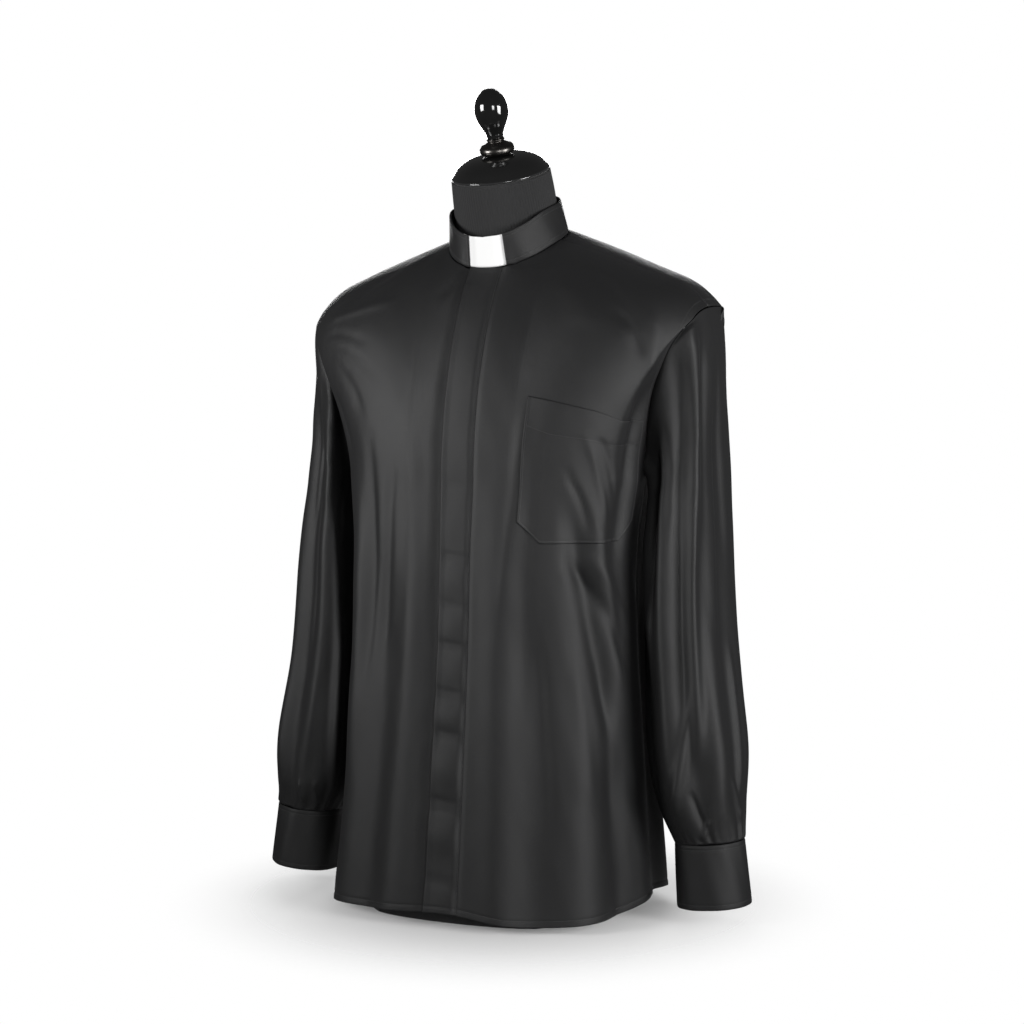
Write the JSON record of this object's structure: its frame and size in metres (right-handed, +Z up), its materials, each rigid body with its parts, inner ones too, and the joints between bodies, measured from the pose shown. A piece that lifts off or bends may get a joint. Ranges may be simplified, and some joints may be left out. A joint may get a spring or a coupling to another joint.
{
  "type": "clergy shirt on a limbless dress form",
  "caption": "Black long-sleeved clergy shirt with a white tab at the neckband, a covered front and a chest pocket, worn on a limbless dress form with a turned finial.",
  "frame": {"origin": "centre of the dress form's flat base, on the surface that it stands on", "axes": "+Z up, +X towards the wearer's left, -Y towards the front"},
  "size_m": [0.5868, 0.3151, 0.9012],
  "materials": {
    "black_cloth": "fine twill with a soft sheen",
    "white_tab": "smooth white",
    "black_button": "black, satin",
    "form_cover": "black ribbed jersey",
    "gloss_black": "black lacquer"
  },
  "bodies": {
    "root": {"front_left": "black_cloth", "front_right": "black_cloth", "placket": "black_cloth", "pocket": "black_cloth", "back": "black_cloth", "yoke": "black_cloth", "collar": "black_cloth", "collar_tab": "white_tab", "sleeve_left": "black_cloth", "sleeve_right": "black_cloth", "cuff_left": "black_cloth", "cuff_right": "black_cloth", "sleeve_placket_left": "black_cloth", "sleeve_placket_right": "black_cloth", "cuff_button_left": "black_button", "cuff_button_right": "black_button", "form_torso": "form_cover", "neck_cap": "gloss_black", "finial": "gloss_black"}
  },
  "joints": []
}
